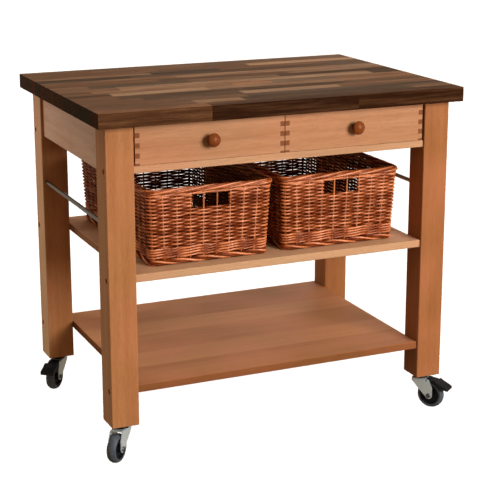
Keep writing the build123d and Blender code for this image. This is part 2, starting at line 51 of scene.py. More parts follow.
# Beech, as linear colours. Each pair is the dark and the light of one part's grain.
BEECH_DARK = (0.285, 0.108, 0.036)
BEECH_LIGHT = (0.400, 0.172, 0.066)
DRAWER_DARK = (0.324, 0.145, 0.066)
DRAWER_LIGHT = (0.453, 0.223, 0.113)
# The right legs' pair is darker than the left legs' as painted shade, where the key falls brighter
RIGHT_LEG_PAINTED_SHADE_DARK = (0.225, 0.077, 0.023)
RIGHT_LEG_PAINTED_SHADE_LIGHT = (0.310, 0.120, 0.040)
PALE_DARK = (0.400, 0.235, 0.145)
PALE_LIGHT = (0.550, 0.345, 0.230)
MIDDLE_DARK = (0.405, 0.224, 0.115)
MIDDLE_LIGHT = (0.550, 0.331, 0.183)
RAIL_DARK = (0.345, 0.177, 0.088)
RAIL_LIGHT = (0.476, 0.257, 0.135)
SHELF_DARK = (0.242, 0.095, 0.034)
SHELF_LIGHT = (0.388, 0.168, 0.065)
KNOB_DARK = (0.118, 0.024, 0.004)
KNOB_LIGHT = (0.215, 0.054, 0.011)
PLY_DARK = (0.46, 0.29, 0.16)
PLY_LIGHT = (0.60, 0.42, 0.26)
BLUSH = (0.50, 0.17, 0.085)
END_GRAIN_TINT = (0.45, 0.31, 0.23)

# Painted shade on the bottom shelf's front and back faces, and painted sheen and light on the side
# faces of the left legs
SHELF_EDGE_PAINTED_SHADE = (0.68, 0.60, 0.52)
LEG_SIDE_PAINTED_SHEEN = {"leg_front_left": (0.96, 1.06, 1.20), "leg_back_left": (1.14, 1.52, 1.95)}

# Worktop: rows of staves from the front to the back. Each stave is its right-hand end in
# millimetres, its tone from 0, dark, to 1, light, and its warmth from 0, grey, to 1, red.
STAVE_WIDTH = 45 * MM
STAVES = (
    ((-211, 0.48, 1.0), (190, 0.07, 0.9), (500, 0.05, 1.0)),
    ((-230, 0.38, 0.6), (-100, 0.66, 0.5), (380, 0.22, 0.1), (500, 0.46, 0.6)),
    ((-300, 0.34, 0.8), (-70, 0.30, 0.6), (180, 0.18, 0.2), (500, 0.24, 0.1)),
    ((-330, 0.36, 0.7), (-65, 0.20, 0.4), (215, 0.80, 0.4), (500, 0.55, 0.8)),
    ((-380, 0.42, 0.8), (-35, 0.22, 0.6), (250, 0.04, 0.6), (500, 0.42, 0.5)),
    ((-385, 0.36, 0.7), (-120, 0.92, 0.4), (265, 0.74, 0.5), (500, 0.55, 0.9)),
    ((-420, 0.45, 0.8), (-35, 0.60, 0.7), (82, 0.66, 1.0), (270, 0.44, 0.2), (500, 0.54, 0.8)),
    ((-335, 0.44, 0.7), (28, 0.72, 0.5), (405, 0.84, 0.4), (500, 0.40, 0.3)),
    ((-400, 0.52, 0.6), (-120, 0.36, 0.1), (145, 0.50, 0.5), (500, 0.22, 0.7)),
    ((-190, 0.40, 0.9), (190, 0.26, 0.7), (500, 0.66, 0.5)),
    ((-125, 0.52, 0.7), (385, 0.76, 0.6), (500, 0.62, 0.3)),
    ((-240, 0.06, 0.3), (10, 0.16, 0.1), (370, 0.12, 0.5), (500, 0.34, 0.2)),
    ((-168, 0.64, 0.6), (40, 0.20, 0.0), (370, 0.42, 0.7), (500, 0.34, 0.0)),
    ((-130, 0.38, 0.9), (150, 0.46, 0.9), (500, 0.86, 0.6)),
    ((-310, 0.44, 0.8), (30, 0.52, 0.6), (500, 0.40, 0.4)),
    ((-90, 0.36, 0.3), (260, 0.44, 0.4), (500, 0.50, 0.3)),
)
WALNUT_DARK = (0.037, 0.017, 0.009)
WALNUT_MID = (0.130, 0.071, 0.041)
WALNUT_LIGHT = (0.340, 0.213, 0.125)

# Tints for a stave by its warmth, and for its end grain by its tone
WALNUT_COOL = (0.94, 1.0, 1.04)
WALNUT_WARM = (1.26, 0.92, 0.66)
WALNUT_END_DARK = (0.62, 0.82, 0.90)
WALNUT_END_LIGHT = (1.05, 0.72, 0.60)

WALNUT_ARRIS = 1.5 * MM

# Shelf boards: the Y of each glue line from the front to the back, and each board's tone
SHELF_LINES = (-0.197, -0.097, 0.043, 0.137, 0.237)
SHELF_TONES = (0.30, 0.72, 0.40, 0.68, 0.34, 0.46)

# Willow, as linear colours
WICKER_DARK = (0.045, 0.006, 0.0012)
WICKER_MID = (0.185, 0.032, 0.0042)
WICKER_LIGHT = (0.590, 0.180, 0.060)
WICKER_KNOT = (0.07, 0.018, 0.006)

# Baskets: stakes around the wall, and rods woven between them. A gap is the space between two
# stakes, and a hand hole runs from one stake to another in WINDOW_GAPS. Rods are painted lighter
# where they stand proud and darker where they lie back, as painted light and shade.
FRONT_GAPS = 9
SIDE_GAPS = 15
STAKES = 2 * (FRONT_GAPS + SIDE_GAPS)
CORNERS = (0, FRONT_GAPS, FRONT_GAPS + SIDE_GAPS, 2 * FRONT_GAPS + SIDE_GAPS)
WINDOW_GAPS = (3, 6)
BASKET_TAPER = 10 * MM
BASKET_CORNER = 20 * MM
WALL_INSET = 6 * MM
STAKE_RADIUS = 2.3 * MM
POST_RADIUS = 3.4 * MM
ROD_RADIUS = 2.5 * MM
ROW_PITCH = 4.6 * MM
ROW_START = 48.5 * MM
FULL_ROWS = 21
WINDOW_ROWS = 8
WEAVE_DEPTH = 2.5 * MM
WINDOW_DEPTH = 2.0 * MM
DEPTH_PAINTED_SHADE = 0.38
TURN_REACH = 0.13
STEPS_PER_GAP = 6

# Floor and backdrop, and the lights
FLOOR_REACH = 60.0
BACKDROP_RADIUS = 54.0
BACKDROP_SIDES = 32
SURROUNDINGS = (1.0, 0.77, 0.54, 1.0)
SURROUNDINGS_LEVEL = 0.31
LIGHTS_LOOK_AT = (0.0, 0.0, 0.5)
KEY_PLACE = (1.5, -3.6, 1.75)
KEY_POWER = 212.0
KEY_SIZE = 1.7
COOL = (0.93, 1.0, 1.12)


class Shader:
    """One material, and short ways to add linked nodes to it."""

    def __init__(self, name):
        self.material = bpy.data.materials.new(name)
        self.material.use_nodes = True
        self.tree = self.material.node_tree
        self.surface = self.tree.nodes["Principled BSDF"]

    def join(self, value, socket):
        if isinstance(value, bpy.types.NodeSocket):
            self.tree.links.new(value, socket)
        else:
            socket.default_value = value

    def add(self, kind, inputs=None, **settings):
        node = self.tree.nodes.new("ShaderNode" + kind)
        for key, value in settings.items():
            setattr(node, key, value)
        for key, value in (inputs or {}).items():
            self.join(value, node.inputs[key])
        return node

    def finish(self, **inputs):
        for key, value in inputs.items():
            self.join(value, self.surface.inputs[key.replace("_", " ")])
        return self.material

    def place(self):
        return self.add("TexCoord").outputs["Object"]

    def facing(self):
        return self.add("TexCoord").outputs["Normal"]

    def moved(self, vector, shift, scale):
        inputs = {"Vector": vector, "Location": shift, "Scale": scale}
        return self.add("Mapping", inputs).outputs[0]

    def split(self, vector):
        return self.add("SeparateXYZ", {0: vector}).outputs

    def noise(self, vector, scale, detail=2.0, roughness=0.5, distortion=0.0):
        inputs = {"Vector": vector, "Scale": scale, "Detail": detail}
        inputs.update({"Roughness": roughness, "Distortion": distortion})
        return self.add("TexNoise", inputs).outputs["Fac"]

    def calc(self, operation, a, b=0.0, c=0.0, clamp=False):
        inputs = {0: a, 1: b, 2: c}
        return self.add("Math", inputs, operation=operation, use_clamp=clamp).outputs[0]

    def span(self, value, low, high, to_low=0.0, to_high=1.0):
        ends = {"From Min": low, "From Max": high, "To Min": to_low, "To Max": to_high}
        return self.add("MapRange", {"Value": value, **ends}).outputs[0]

    def mix(self, factor, a, b, blend="MIX"):
        a, b = [x if isinstance(x, bpy.types.NodeSocket) else (*x, 1.0) for x in (a, b)]
        inputs = {0: factor, 6: a, 7: b}
        return self.add("Mix", inputs, data_type="RGBA", blend_type=blend).outputs[2]

    def tinted(self, colour, tint):
        return self.mix(1.0, colour, tint, "MULTIPLY")

    def scaled(self, colour, value):
        """Colour times a number that is worked out for each point."""
        grey = self.add("CombineColor", {0: value, 1: value, 2: value}).outputs[0]
        return self.tinted(colour, grey)

    def steps(self, value, places, levels):
        """A level for each stretch between places, as a constant ramp of grey."""
        ramp = self.add("ValToRGB", {0: value})
        stops = ramp.color_ramp
        stops.interpolation = "CONSTANT"
        for place in places[1:]:
            stops.elements.new(place)
        for stop, place, level in zip(stops.elements, (0.0, *places), levels):
            stop.position = place
            stop.color = (level, level, level, 1.0)
        return ramp.outputs[0]

    def bump(self, height, strength, distance):
        inputs = {"Height": height, "Strength": strength, "Distance": distance}
        return self.add("Bump", inputs).outputs[0]


def grain_scale(along, stretch):
    """Mapping scale that draws a pattern out along one axis."""
    return tuple(stretch if axis == along else 1.0 for axis in "XYZ")


def random_shift(seed):
    """A place of its own in the wood for each piece."""
    source = random.Random(seed)
    return tuple(source.uniform(-7, 7) for _ in range(3))


def faces_along(shader, axis):
    """1 on faces that look along an axis, either way, and 0 on the others."""
    share = shader.split(shader.facing())["XYZ".index(axis)]
    return shader.span(shader.calc("ABSOLUTE", share), 0.6, 0.8)


def timber(name, along, dark, light, gloss=0.48, sheen=0.05, shelf_box=None, faces=None):
    """Lacquered beech with its grain along one axis, in glued boards on a shelf.

    faces is an axis and a tint for the faces that look along it: painted sheen and light on
    the left legs' sides, painted shade on the bottom shelf's edges."""
    s = Shader(name)
    place = s.place()
    level = None
    if shelf_box:
        low, high = shelf_box[0].y, shelf_box[1].y
        lines = [(y - low) / (high - low) for y in SHELF_LINES]
        level = s.steps(s.span(s.split(place)[1], low, high), lines, SHELF_TONES)
        apart = s.add("VectorMath", {0: level, 1: (31.0, 17.0, 23.0)}, operation="MULTIPLY")
        moved = s.add("VectorMath", {0: place, 1: apart.outputs[0]}, operation="ADD")
        place = moved.outputs[0]
    shift = random_shift(name)
    long_grain = s.moved(place, shift, grain_scale(along, 0.05))
    figure = s.noise(long_grain, 16, 3, 0.55, 0.4)
    streaks = s.noise(long_grain, 75, 3, 0.6, 0.2)
    fibre = s.noise(long_grain, 620, 2, 0.6)
    fleck_grain = s.moved(place, shift, grain_scale(along, 0.22))
    flecks = s.span(s.noise(fleck_grain, 520, 1), 0.66, 0.74)
    tone = s.calc("ADD", s.calc("MULTIPLY", figure, 0.9), s.calc("MULTIPLY", streaks, 0.7))
    if level is not None:
        board = s.calc("MULTIPLY_ADD", level, 0.75, 0.07)
        tone = s.calc("ADD", s.calc("MULTIPLY", tone, 0.45), board)
    colour = s.mix(s.span(tone, 0.5, 1.1), dark, light)
    colour = s.mix(s.span(s.noise(place, 5, 1), 0.4, 0.65, 0.0, 0.25), colour, BLUSH)
    colour = s.scaled(colour, s.span(fibre, 0.3, 0.7, 0.88, 1.07))
    colour = s.scaled(colour, s.span(flecks, 0.0, 1.0, 1.0, 0.80))
    # Painted light and shade: the faces that look along one axis take the tint.
    if faces:
        axis, tint = faces
        colour = s.mix(faces_along(s, axis), colour, s.tinted(colour, tint))
    pores = s.noise(place, 480, 2, 0.7)
    ends = s.mix(s.span(pores, 0.35, 0.65), dark, light)
    ends = s.tinted(ends, END_GRAIN_TINT)
    colour = s.mix(faces_along(s, along), colour, ends)
    rough = s.span(fibre, 0.3, 0.7, gloss - 0.05, gloss + 0.09)
    relief = s.calc("SUBTRACT", fibre, s.calc("MULTIPLY", flecks, 0.5))
    normal = s.bump(relief, 0.25, 0.25 * MM)
    return s.finish(Base_Color=colour, Roughness=rough, Normal=normal, Specular_IOR_Level=sheen)


def walnut():
    """Oiled walnut staves, each with its own tone and grain, and end grain on the two ends."""
    s = Shader("walnut_staves")
    place = s.place()
    tone = s.add("Attribute", attribute_name="tone").outputs["Fac"]
    warmth = s.add("Attribute", attribute_name="warmth").outputs["Fac"]
    own = s.add("Attribute", attribute_name="shift").outputs["Fac"]
    edges = s.split(s.add("Attribute", attribute_name="reach").outputs["Vector"])
    shifted = s.add("VectorMath", {0: place, 1: own}, operation="ADD").outputs[0]
    grain = s.moved(shifted, (0.0, 0.0, 0.0), grain_scale("X", 0.045))
    figure = s.noise(grain, 26, 4, 0.6, 0.9)
    streaks = s.noise(grain, 130, 3, 0.6, 0.3)
    fibre = s.noise(grain, 700, 2, 0.6)
    pores = s.span(s.noise(s.moved(shifted, (0, 0, 0), grain_scale("X", 0.09)), 900, 1), 0.62, 0.72)
    level = s.calc("ADD", tone, s.span(figure, 0.3, 0.7, -0.24, 0.24))
    level = s.calc("ADD", level, s.span(streaks, 0.3, 0.7, -0.24, 0.24), clamp=True)
    lower = s.mix(s.span(level, 0.0, 0.5), WALNUT_DARK, WALNUT_MID)
    colour = s.mix(s.span(level, 0.5, 1.0), lower, WALNUT_LIGHT)
    colour = s.tinted(colour, s.mix(warmth, WALNUT_COOL, WALNUT_WARM))
    colour = s.scaled(colour, s.span(fibre, 0.3, 0.7, 0.80, 1.18))
    colour = s.scaled(colour, s.span(pores, 0.0, 1.0, 1.0, 0.55))
    nearest = s.calc("MINIMUM", s.calc("MINIMUM", edges[0], edges[1]), edges[2])
    seam = s.span(nearest, 0.15 * MM, 0.75 * MM)
    colour = s.scaled(colour, s.span(seam, 0.0, 1.0, 0.45, 1.0))
    rings = s.noise(s.moved(shifted, (0, 0, 0), (1.0, 1.0, 1.6)), 210, 3, 0.7, 1.2)
    cut = s.scaled(s.mix(s.span(rings, 0.35, 0.65), WALNUT_DARK, WALNUT_MID), 0.62)
    cut = s.tinted(cut, s.mix(s.span(tone, 0.35, 0.55), WALNUT_END_DARK, WALNUT_END_LIGHT))
    cut = s.scaled(cut, s.span(seam, 0.0, 1.0, 0.4, 1.0))
    colour = s.mix(faces_along(s, "X"), colour, cut)
    rough = s.span(fibre, 0.3, 0.7, 0.36, 0.52)
    relief = s.calc("SUBTRACT", s.calc("ADD", fibre, seam), pores)
    normal = s.bump(relief, 0.3, 0.25 * MM)
    polish = s.span(s.split(s.facing())[2], 0.6, 0.9, 0.02, 0.16)
    polish = s.calc("MULTIPLY", polish, s.calc("SUBTRACT", 1.0, faces_along(s, "X")))
    return s.finish(Base_Color=colour, Roughness=rough, Normal=normal, Specular_IOR_Level=polish)


def wicker():
    """Glossy brown willow. Each rod has a tone of its own, with painted light where it
    stands proud and painted shade where it lies back.
    """
    s = Shader("wicker")
    place = s.place()
    tone = s.add("Attribute", attribute_name="tone").outputs["Fac"]
    patches = s.noise(place, 45, 3, 0.6)
    skin = s.noise(s.moved(place, (0, 0, 0), (1.0, 1.0, 4.0)), 260, 3, 0.65)
    level = s.calc("ADD", tone, s.span(patches, 0.3, 0.7, -0.16, 0.16))
    level = s.calc("ADD", level, s.span(skin, 0.3, 0.7, -0.12, 0.12), clamp=True)
    lower = s.mix(s.span(level, 0.0, 0.5), WICKER_DARK, WICKER_MID)
    colour = s.mix(s.span(level, 0.5, 1.0), lower, WICKER_LIGHT)
    knots = s.span(s.noise(place, 170, 1), 0.70, 0.76)
    colour = s.mix(s.calc("MULTIPLY", knots, 0.6), colour, WICKER_KNOT)
    rough = s.span(skin, 0.3, 0.7, 0.24, 0.38)
    normal = s.bump(skin, 0.25, 0.3 * MM)
    varnish = s.span(level, 0.3, 0.9, 0.03, 0.42)
    return s.finish(Base_Color=colour, Roughness=rough, Normal=normal, Specular_IOR_Level=varnish)


def metal(name, colour, rough, along=None, blotch=0.12, shine=1.0):
    """Plated or polished steel, brushed along one axis if one is given."""
    s = Shader(name)
    place = s.place()
    lines = s.noise(s.moved(place, (0, 0, 0), grain_scale(along, 0.02)), 900, 2, 0.6)
    cloud = s.noise(place, 140, 4, 0.65)
    shade = s.scaled(colour, s.span(cloud, 0.3, 0.7, 1.0 - blotch, 1.0 + blotch))
    worn = s.span(cloud, 0.3, 0.7, rough - 0.04, rough + 0.05)
    brushed = s.calc("ADD", worn, s.span(lines, 0.3, 0.7, -0.03, 0.03))
    normal = s.bump(lines, 0.12, 0.1 * MM)
    return s.finish(Base_Color=shade, Metallic=shine, Roughness=brushed, Normal=normal)


def moulded(name, colour, rough, grain, dust=0.0):
    """Moulded plastic or rubber with a fine skin, and dust where it rolls."""
    s = Shader(name)
    place = s.place()
    skin = s.noise(place, grain, 3, 0.6)
    cloud = s.noise(place, 60, 4, 0.7)
    dusty = s.calc("MULTIPLY", s.span(cloud, 0.45, 0.75), dust)
    shade = s.mix(dusty, colour, (0.26, 0.24, 0.22))
    shade = s.scaled(shade, s.span(skin, 0.3, 0.7, 0.9, 1.12))
    dull = s.span(cloud, 0.3, 0.7, rough - 0.05, rough + 0.07)
    dull = s.calc("ADD", dull, s.calc("MULTIPLY", dusty, 0.3))
    normal = s.bump(skin, 0.3, 0.2 * MM)
    return s.finish(Base_Color=shade, Roughness=dull, Normal=normal, Specular_IOR_Level=0.3)


def new_piece(name, vertices, faces, material, smooth):
    """Mesh object from plain lists."""
    mesh = bpy.data.meshes.new(name)
    mesh.from_pydata(vertices, [], faces)
    mesh.polygons.foreach_set("use_smooth", [smooth] * len(mesh.polygons))
    mesh.materials.append(material)
    mesh.update()
    piece = bpy.data.objects.new(name, mesh)
    bpy.context.scene.collection.objects.link(piece)
    return piece


def stave_at(row, x):
    """The stave of a row that holds a place, as its left end, right end, tone and warmth."""
    left = -math.inf
    for right, tone, warmth in STAVES[row]:
        if x < right * MM:
            return left, right * MM, tone, warmth
        left = right * MM
    return left, math.inf, tone, warmth


def make_worktop():
    """One closed slab whose faces follow the staves, each face marked with its stave's looks."""
    low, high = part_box("worktop")
    ends = sorted({right * MM for row in STAVES for right, _, _ in row[:-1]})
    xs = [low.x, *ends, high.x]
    ys = [low.y + STAVE_WIDTH * row for row in range(len(STAVES))] + [high.y]
    columns, rows = len(xs), len(ys)
    vertices = [(x, y, z) for z in (low.z, high.z) for y in ys for x in xs]

    def corner(i, j, layer):
        return layer * columns * rows + j * columns + i

    faces = []
    cells = []
    for j in range(rows - 1):
        for i in range(columns - 1):
            around = ((i, j), (i + 1, j), (i + 1, j + 1), (i, j + 1))
            flat = [corner(*place, 0) for place in around]
            faces.append(flat[::-1])
            faces.append([v + columns * rows for v in flat])
            cells += [(i, j)] * 2
    for i in range(columns - 1):
        for j, turn in ((0, 1), (rows - 1, -1)):
            side = [corner(i, j, 0), corner(i + 1, j, 0), corner(i + 1, j, 1), corner(i, j, 1)]
            faces.append(side[::turn])
            cells.append((i, min(j, rows - 2)))
    for j in range(rows - 1):
        for i, turn in ((0, -1), (columns - 1, 1)):
            side = [corner(i, j, 0), corner(i, j + 1, 0), corner(i, j + 1, 1), corner(i, j, 1)]
            faces.append(side[::turn])
            cells.append((min(i, columns - 2), j))
    slab = new_piece("worktop_staves", vertices, faces, walnut(), False)
    mark_staves(slab.data, cells, xs, ys)
    ease = slab.modifiers.new("eased", "BEVEL")
    ease.width = WALNUT_ARRIS
    ease.segments = 2
    ease.limit_method = "ANGLE"
    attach(slab, "frame")
    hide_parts("worktop")
    return slab


def mark_staves(mesh, cells, xs, ys):
    """Each face's tone, warmth and grain shift, and how far its corners are from the stave's ends
    and sides."""
    tones, warmths, shifts, reaches = [], [], [], []
    for polygon, (i, j) in zip(mesh.polygons, cells):
        left, right, tone, warmth = stave_at(j, (xs[i] + xs[i + 1]) / 2)
        tones.append(tone)
        warmths.append(warmth)
        shifts.append(random.Random(f"stave {j} {right}").uniform(-9, 9))
        for v in polygon.vertices:
            x, y, _ = mesh.vertices[v].co
            along = min(x - left, right - x)
            reaches += [along, y - ys[j], ys[j + 1] - y]
    for name, values in (("tone", tones), ("warmth", warmths), ("shift", shifts)):
        mesh.attributes.new(name, "FLOAT", "FACE").data.foreach_set("value", values)
    mesh.attributes.new("reach", "FLOAT_VECTOR", "CORNER").data.foreach_set("vector", reaches)


class Rods:
    """Round rods swept along their paths and gathered into one mesh."""

    def __init__(self):
        self.vertices = []
        self.faces = []
        self.tones = []
        self.count = 0

    def sweep(self, path, facing, radius, tone, closed=False, sides=6):
        """Adds one rod. facing is a direction across the path at each point."""
        path = np.asarray(path, float)
        count = len(path)
        radius = np.broadcast_to(radius, count)
        tone = np.broadcast_to(tone, count)
        if closed:
            along = np.roll(path, -1, 0) - np.roll(path, 1, 0)
        else:
            along = np.gradient(path, axis=0)
        along /= np.linalg.norm(along, axis=1)[:, None]
        across = np.cross(along, np.broadcast_to(facing, path.shape))
        across /= np.linalg.norm(across, axis=1)[:, None]
        out = np.cross(across, along)
        turn = np.arange(sides) * 2 * math.pi / sides
        cos, sin = np.cos(turn)[None, :, None], np.sin(turn)[None, :, None]
        ring = cos * out[:, None, :] + sin * across[:, None, :]
        ring = path[:, None, :] + radius[:, None, None] * ring
        self.vertices.append(ring.reshape(-1, 3))
        self.tones.append(np.repeat(tone, sides))
        first = np.arange(count if closed else count - 1)[:, None] * sides
        following = np.roll(np.arange(count), -1)[: len(first), None] * sides
        here = np.arange(sides)[None, :]
        beside = (here + 1) % sides
        quads = np.stack([first + here, first + beside, following + beside, following + here], -1)
        self.faces += (quads.reshape(-1, 4) + self.count).tolist()
        if not closed:
            caps = [path[0] - along[0] * radius[0] * 0.5, path[-1] + along[-1] * radius[-1] * 0.5]
            self.vertices.append(np.array(caps))
            self.tones.append(np.array([tone[0], tone[-1]]))
            start, end = self.count + count * sides, self.count + count * sides + 1
            last = self.count + (count - 1) * sides
            for k in range(sides):
                after = (k + 1) % sides
                self.faces.append([start, self.count + after, self.count + k])
                self.faces.append([end, last + k, last + after])
            self.count += 2
        self.count += count * sides

    def piece(self, name, material):
        made = new_piece(name, np.concatenate(self.vertices).tolist(), self.faces, material, True)
        tones = np.concatenate(self.tones).astype(np.float32)
        made.data.attributes.new("tone", "FLOAT", "POINT").data.foreach_set("value", tones)
        return made


class BasketWall:
    """Places on a basket's wall. s counts the stakes anticlockwise from the front left corner."""

    def __init__(self, node):
        self.low, self.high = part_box(node)
        self.middle = (self.low + self.high) / 2
        self.half_x = (self.high.x - self.low.x) / 2 - WALL_INSET
        self.half_y = (self.high.y - self.low.y) / 2 - WALL_INSET
        radius = BASKET_CORNER - WALL_INSET
        centre_x, centre_y = self.half_x - radius, self.half_y - radius
        points, normals = [], []
        corners = ((270, 360, 1, -1), (0, 90, 1, 1), (90, 180, -1, 1))
        turns = ((225, 270, -1, -1), *corners, (180, 225, -1, -1))
        for start, end, side_x, side_y in turns:
            for angle in np.radians(np.linspace(start, end, 9)):
                normal = np.array([math.cos(angle), math.sin(angle)])
                points.append(np.array([side_x * centre_x, side_y * centre_y]) + radius * normal)
                normals.append(normal)
        self.points, self.normals = np.array(points), np.array(normals)
        steps = np.linalg.norm(np.diff(self.points, axis=0), axis=1)
        self.length = np.concatenate([[0.0], np.cumsum(steps)])
        self.stakes = self.stake_lengths(radius)

    def stake_lengths(self, radius):
        """Length along the wall to each stake, with a corner post in the middle of each corner."""
        turn = radius * math.pi / 4
        found = [0.0]
        start = 0.0
        for half, gaps in ((self.half_x, FRONT_GAPS), (self.half_y, SIDE_GAPS)) * 2:
            straight = 2 * (half - radius)
            for k in range(1, gaps):
                found.append(start + turn + 2 * half * k / gaps - radius)
            start += straight + 2 * turn
            found.append(start)
        return np.array(found) * self.length[-1] / start

    def at(self, s, height, out):
        """Points at a height above the foot and a distance out of the wall, and its direction."""
        s, height, out = np.broadcast_arrays(np.asarray(s, float), height, out)
        length = np.interp(np.mod(s, STAKES), np.arange(STAKES + 1), self.stakes)
        x, y = [np.interp(length, self.length, self.points[:, k]) for k in (0, 1)]
        nx, ny = [np.interp(length, self.length, self.normals[:, k]) for k in (0, 1)]
        shrink = BASKET_TAPER * (1 - height / (self.high.z - self.low.z))
        x = self.middle.x + x * (1 - shrink / self.half_x) + nx * out
        y = self.middle.y + y * (1 - shrink / self.half_y) + ny * out
        facing = np.stack([nx, ny, np.zeros_like(nx)], -1)
        return np.stack([x, y, self.low.z + height], -1), facing


def stake_side(k, row):
    """Where a rod passes a stake: 1 in front of it, -1 behind it."""
    side = 1.0 if (k + row) % 2 else -1.0
    return side * 1.3 if k % STAKES in CORNERS else side


def weave_out(s, row, depth=WEAVE_DEPTH):
    """How far out of the wall a woven rod lies."""
    stake = math.floor(s)
    share = s - stake
    share = share * share * (3 - 2 * share)
    here, there = stake_side(stake, row), stake_side(stake + 1, row)
    return depth * (here + (there - here) * share)


def rod_looks(source, count, thickness=1.0):
    """Radius and tone along a row, where one rod ends and the next one starts now and then."""
    radius, tone = np.zeros(count), np.zeros(count)
    start = 0
    while start < count:
        reach = source.randint(70, 170)
        radius[start:start + reach] = ROD_RADIUS * thickness * source.uniform(0.93, 1.04)
        tone[start:start + reach] = source.uniform(0.22, 0.66)
        start += reach
    return radius, tone


def wobble(source, s, amount):
    """Slow unevenness of a hand-laid row, the same at both ends of the round."""
    total = 0.0
    for waves in (1, 3, 7):
        total += np.sin(2 * math.pi * waves * s / STAKES + source.uniform(0, 2 * math.pi)) / waves
    return amount * total


def weave_full_rows(rods, wall, source):
    """Rows below the windows, each one round of the basket."""
    s = np.arange(STAKES * STEPS_PER_GAP) / STEPS_PER_GAP
    for row in range(FULL_ROWS):
        out = np.array([weave_out(v, row) for v in s])
        height = ROW_START + ROW_PITCH * row + wobble(source, s, 0.45 * MM)
        path, facing = wall.at(s, height, out)
        radius, tone = rod_looks(source, len(s))
        # Rods are painted lighter where they stand proud and darker where they lie back: painted
        # light and shade.
        rods.sweep(path, facing, radius, tone + DEPTH_PAINTED_SHADE * out / WEAVE_DEPTH, closed=True)


def weave_window_rows(rods, wall, source, start, end):
    """Rows between two windows, turning back around the stakes at their edges."""
    places, heights, outs = [], [], []
    span = np.linspace(start, end, (end - start) * STEPS_PER_GAP + 1)
    for k in range(WINDOW_ROWS):
        row = FULL_ROWS + k
        way = span if k % 2 == 0 else span[::-1]
        height = ROW_START + ROW_PITCH * row
        places += list(way)
        heights += [height] * len(way)
        outs += [weave_out(v, row, WINDOW_DEPTH) for v in way]
        if k < WINDOW_ROWS - 1:
            edge = way[-1]
            away = 1 if k % 2 == 0 else -1
            for angle in np.linspace(0, math.pi, 7)[1:-1]:
                places.append(edge + away * TURN_REACH * math.sin(angle))
                heights.append(height + ROW_PITCH * angle / math.pi)
                outs.append(weave_out(edge, row, WINDOW_DEPTH) * math.cos(angle))
    s = np.array(places)
    path, facing = wall.at(s, np.array(heights) + wobble(source, s, 0.2 * MM), np.array(outs))
    radius, tone = rod_looks(source, len(s), 1.08)
    # Rods are painted lighter where they stand proud and darker where they lie back: painted light
    # and shade.
    rods.sweep(path, facing, radius, tone + DEPTH_PAINTED_SHADE * np.array(outs) / WINDOW_DEPTH)


def twist(weave, height, strands, period, spread, radius, tones, slope=1, shift=0.0):
    """Strands in two tones that twine around each other, as in a wale or a braided border.

    weave is the rods, the wall and the source of chance. period is the stakes for one turn."""
    rods, wall, source = weave
    steps = 5 if period <= 4 else 3
    s = np.arange(STAKES * steps) / steps
    spread_out, spread_up = spread
    for strand in range(strands):
        phase = 2 * math.pi * (s / period + strand / strands)
        out = shift + spread_out * np.cos(phase)
        up = height + slope * spread_up * np.sin(phase) + wobble(source, s, 0.25 * MM)
        path, facing = wall.at(s, up, out)
        thick = radius * source.uniform(0.92, 1.06)
        # The strand is painted lighter where it lies out and darker where it lies back: painted
        # light and shade.
        tone = tones[strand % 2] + source.uniform(-0.08, 0.08) + 0.14 * np.cos(phase)
        rods.sweep(path, facing, thick, tone, closed=True, sides=7)


def make_stakes(wall, source):
    """Upright stakes, with a thick post in each corner."""
    rods = Rods()
    top = wall.high.z - wall.low.z
    for k in range(STAKES):
        post = k in CORNERS
        below_rim = (6 if post else 8) * MM
        height = np.linspace(4 * MM, top - below_rim, 12)
        lean = source.uniform(-0.02, 0.02)
        path, facing = wall.at(k + lean * height / top, height, -1.0 * MM if post else 0.0)
        radius = POST_RADIUS if post else STAKE_RADIUS * source.uniform(0.92, 1.05)
        tone = source.uniform(0.45, 0.6) if post else source.uniform(0.7, 1.0)
        rods.sweep(path, facing, radius, tone, sides=10 if post else 7)
    return rods


def make_borders(wall, source):
    """The braided foot, the waling above it, the wale over the windows and the braided rim."""
    rods = Rods()
    weave = (rods, wall, source)
    top = wall.high.z - wall.low.z
    foot, waling, wale = (4.2 * MM, 4.6 * MM), (3.0 * MM, 1.6 * MM), (3.8 * MM, 1.5 * MM)
    rim, core = (6.0 * MM, 4.6 * MM), (1.0 * MM, 1.0 * MM)
    twist(weave, 8.2 * MM, 4, 4, foot, 3.0 * MM, (0.18, 0.78), slope=-1)
    for k in range(4):
        twist(weave, (21.0 + 6.9 * k) * MM, 2, 3, waling, 2.6 * MM, (0.78, 0.46))
    twist(weave, top - 18.6 * MM, 3, 3, wale, 2.0 * MM, (0.95, 0.60))
    twist(weave, top - 7.6 * MM, 6, 6, rim, 3.0 * MM, (0.42, 0.78), shift=0.5 * MM)
    twist(weave, top - 8.0 * MM, 2, 2, core, 4.0 * MM, (0.3, 0.3))
    return rods


def make_floor_weave(wall, source):
    """Woven bottom: sticks along the basket, and rods across them."""
    rods = Rods()
    half_x = wall.half_x - BASKET_TAPER - 1 * MM
    half_y = wall.half_y - BASKET_TAPER - 1 * MM
    height = wall.low.z + 6 * MM
    up = np.array([0.0, 0.0, 1.0])
    sticks = np.linspace(-half_x, half_x, FRONT_GAPS + 1)[1:-1]
    for x in sticks:
        ys = np.linspace(-half_y, half_y, 20)
        path = [(wall.middle.x + x, wall.middle.y + y, height) for y in ys]
        rods.sweep(path, up, STAKE_RADIUS, source.uniform(0.3, 0.7))
    pitch = 2.3 * ROD_RADIUS
    for row in range(int(2 * half_y / pitch)):
        y = wall.middle.y - half_y + pitch * (row + 0.7)
        share = np.linspace(0, FRONT_GAPS, FRONT_GAPS * 4 + 1)
        side = 1 if row % 2 else -1
        rise = side * 2.6 * MM * np.sin(math.pi * (share - 0.5))
        xs = wall.middle.x + half_x * (2 * share / FRONT_GAPS - 1)
        path = np.stack([xs, np.full_like(xs, y), height + rise], -1)
        rods.sweep(path, up, ROD_RADIUS, source.uniform(0.25, 0.8), sides=5)
    return rods


